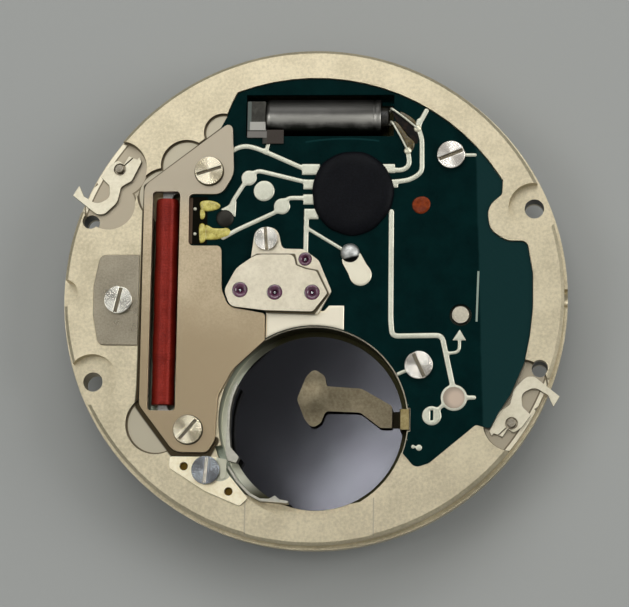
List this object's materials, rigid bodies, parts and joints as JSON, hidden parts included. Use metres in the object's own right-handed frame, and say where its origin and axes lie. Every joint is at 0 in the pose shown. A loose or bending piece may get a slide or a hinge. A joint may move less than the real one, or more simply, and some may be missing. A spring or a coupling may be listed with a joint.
{
  "type": "quartz watch movement",
  "caption": "Round quartz watch movement seen from the battery side: notched plate, coil and cover, circuit board, cell well, jewelled train bridge, hand posts.",
  "frame": {"origin": "centre of the movement, on the plane that the dial sits on", "axes": "+Z towards the battery side, +X along the winding stem's hole, outwards"},
  "size_m": [0.026, 0.026, 0.0044],
  "materials": {
    "plate": "nickel plated, fine satin",
    "jewel": "polished synthetic ruby",
    "bridge": "nickel plated, fine satin",
    "board": "dark green solder mask",
    "tin": "tinned copper, satin",
    "solder": "bright solder",
    "chip": "moulded resin",
    "lacquer": "lacquer",
    "can": "drawn metal, satin",
    "seal": "sealing compound",
    "iron": "soft magnetic alloy",
    "copper": "enamelled copper wire, red",
    "flux": "solder under clear flux",
    "cover": "plated, fine satin",
    "screw": "polished",
    "blue_screw": "polished, blue-grey",
    "film": "insulating film",
    "leaf": "gilt spring alloy",
    "gilt": "gilt",
    "spring": "spring steel",
    "magnet": "sintered magnet",
    "wheel": "brass",
    "steel": "polished steel",
    "ring": "white lacquer",
    "latch": "bright nickel"
  },
  "bodies": {
    "movement": {"main_plate": "plate", "plate_jewels": "jewel", "bridge_jewels": "jewel", "train_bridge": "bridge", "bridge_screw": "screw", "circuit_board": "board", "circuit_tracks": "tin", "contact_studs": "solder", "chip_cover": "chip", "lacquer_dot": "lacquer", "crystal_can": "can", "crystal_base": "seal", "crystal_leads": "tin", "crystal_holder": "seal", "coil_core": "iron", "coil_winding": "copper", "coil_terminals": "flux", "stator": "iron", "coil_cover": "cover", "cover_screws": "screw", "board_screws": "screw", "side_plate": "cover", "side_plate_screw": "screw", "well_insulator": "film", "contact_root": "leaf", "positive_bridle": "gilt", "bridle_screw": "blue_screw", "motion_work_studs": "steel", "date_keeper": "plate", "keeper_screws": "screw", "latch_posts": "steel"},
    "rotor": {"rotor_magnet": "magnet", "rotor_pinion": "steel"},
    "intermediate": {"intermediate_wheel": "wheel", "intermediate_pinion": "steel"},
    "seconds": {"second_wheel": "wheel", "second_pinion": "steel"},
    "third": {"third_wheel": "wheel", "third_pinion": "steel"},
    "centre": {"centre_wheel": "wheel", "cannon_pinion": "steel"},
    "minute": {"minute_wheel": "wheel"},
    "hour": {"hour_wheel": "wheel"},
    "idler": {"date_idler": "wheel"},
    "date_drive": {"date_wheel": "wheel", "date_finger": "spring"},
    "setting": {"setting_wheel": "steel"},
    "calendar": {"date_ring": "ring"},
    "jumper": {"date_jumper": "spring"},
    "lever": {"setting_lever": "steel"},
    "yoke": {"yoke": "steel"},
    "clutch": {"sliding_pinion": "steel"},
    "latch_left": {"left_latch": "latch"},
    "latch_right": {"right_latch": "latch"},
    "contact": {"negative_contact": "leaf"},
    "blade_side": {"side_spring": "spring"},
    "blade_end": {"end_spring": "spring"}
  },
  "joints": [
    {"name": "rotor_spin", "type": "hinge", "parent": "movement", "child": "rotor", "pos_m": [-0.00369, 0.00012, 0.0014], "axis": [0, 0, 1], "continuous": true},
    {"name": "seconds_spin", "type": "hinge", "parent": "movement", "child": "seconds", "pos_m": [0, 0, 0.0015], "axis": [0, 0, 1], "continuous": true},
    {"name": "intermediate_spin", "type": "hinge", "parent": "movement", "child": "intermediate", "pos_m": [-0.00191, 0, 0.0016], "axis": [0, 0, 1], "continuous": true},
    {"name": "third_spin", "type": "hinge", "parent": "movement", "child": "third", "pos_m": [-0.0004, 0.00176, 0.0014], "axis": [0, 0, 1], "continuous": true},
    {"name": "centre_spin", "type": "hinge", "parent": "movement", "child": "centre", "pos_m": [0, 0, 0.0011], "axis": [0, 0, 1], "continuous": true},
    {"name": "minute_spin", "type": "hinge", "parent": "movement", "child": "minute", "pos_m": [0.00175, 0.00044, 0.0006], "axis": [0, 0, 1], "continuous": true},
    {"name": "hour_spin", "type": "hinge", "parent": "movement", "child": "hour", "pos_m": [0, 0, 0.0002], "axis": [0, 0, 1], "continuous": true},
    {"name": "idler_spin", "type": "hinge", "parent": "movement", "child": "idler", "pos_m": [-0.00234, 0.00093, 0.00025], "axis": [0, 0, 1], "continuous": true},
    {"name": "date_wheel_spin", "type": "hinge", "parent": "movement", "child": "date_drive", "pos_m": [-0.00281, 0.00486, 0.00025], "axis": [0, 0, 1], "continuous": true},
    {"name": "setting_spin", "type": "hinge", "parent": "movement", "child": "setting", "pos_m": [0.00434, 0.00012, 0.0006], "axis": [0, 0, 1], "continuous": true},
    {"name": "calendar_spin", "type": "hinge", "parent": "movement", "child": "calendar", "pos_m": [0, 0, 0.0002], "axis": [0, 0, 1], "continuous": true},
    {"name": "jumper_swing", "type": "hinge", "parent": "movement", "child": "jumper", "pos_m": [-0.00692, -0.00198, 0.0002], "axis": [0, 0, -1], "range_deg": [0, 8], "stiffness_Nm_per_rad": 0.001, "springref_deg": -5.73},
    {"name": "lever_swing", "type": "hinge", "parent": "movement", "child": "lever", "pos_m": [0.00755, -0.00106, 0.0004], "axis": [0, 0, -1], "range_deg": [0, 28]},
    {"name": "yoke_swing", "type": "hinge", "parent": "movement", "child": "yoke", "pos_m": [0.0063, -0.0029, 0.0004], "axis": [0, 0, 1], "range_deg": [0, 6.9]},
    {"name": "clutch_slide", "type": "slide", "parent": "movement", "child": "clutch", "axis": [-1, 0, 0], "range_m": [0, 0.0003]},
    {"name": "left_latch_swing", "type": "hinge", "parent": "movement", "child": "latch_left", "pos_m": [-0.01015, 0.00655, 0.0018], "axis": [0, 0, 1], "range_deg": [0, 28]},
    {"name": "right_latch_swing", "type": "hinge", "parent": "movement", "child": "latch_right", "pos_m": [0.01015, -0.00655, 0.0018], "axis": [0, 0, 1], "range_deg": [0, 28]},
    {"name": "contact_press", "type": "hinge", "parent": "movement", "child": "contact", "pos_m": [0.00404, -0.0062, 0.0005], "axis": [0, -1, 0], "range_deg": [0, 5], "stiffness_Nm_per_rad": 0.05},
    {"name": "side_blade_flex", "type": "hinge", "parent": "movement", "child": "blade_side", "pos_m": [-0.00424, -0.00855, 0.0016], "axis": [0, 0, 1], "range_deg": [0, 2.5], "stiffness_Nm_per_rad": 0.02},
    {"name": "end_blade_flex", "type": "hinge", "parent": "movement", "child": "blade_end", "pos_m": [-0.00412, -0.00892, 0.0016], "axis": [0, 0, -1], "range_deg": [0, 3], "stiffness_Nm_per_rad": 0.02}
  ],
  "couplings": [
    {"joint": "intermediate_spin", "follows": "rotor_spin", "ratio": -0.13333},
    {"joint": "seconds_spin", "follows": "rotor_spin", "ratio": 0.033333},
    {"joint": "third_spin", "follows": "rotor_spin", "ratio": -0.0033333},
    {"joint": "centre_spin", "follows": "rotor_spin", "ratio": 0.00055556},
    {"joint": "minute_spin", "follows": "rotor_spin", "ratio": -0.00018519},
    {"joint": "hour_spin", "follows": "rotor_spin", "ratio": 0.000046296},
    {"joint": "idler_spin", "follows": "rotor_spin", "ratio": -0.000061728},
    {"joint": "date_wheel_spin", "follows": "rotor_spin", "ratio": 0.000023148},
    {"joint": "setting_spin", "follows": "rotor_spin", "ratio": 0.00019841},
    {"joint": "lever_swing", "follows": "clutch_slide", "rad_per_m": 1628.9},
    {"joint": "yoke_swing", "follows": "clutch_slide", "rad_per_m": 401.4}
  ]
}
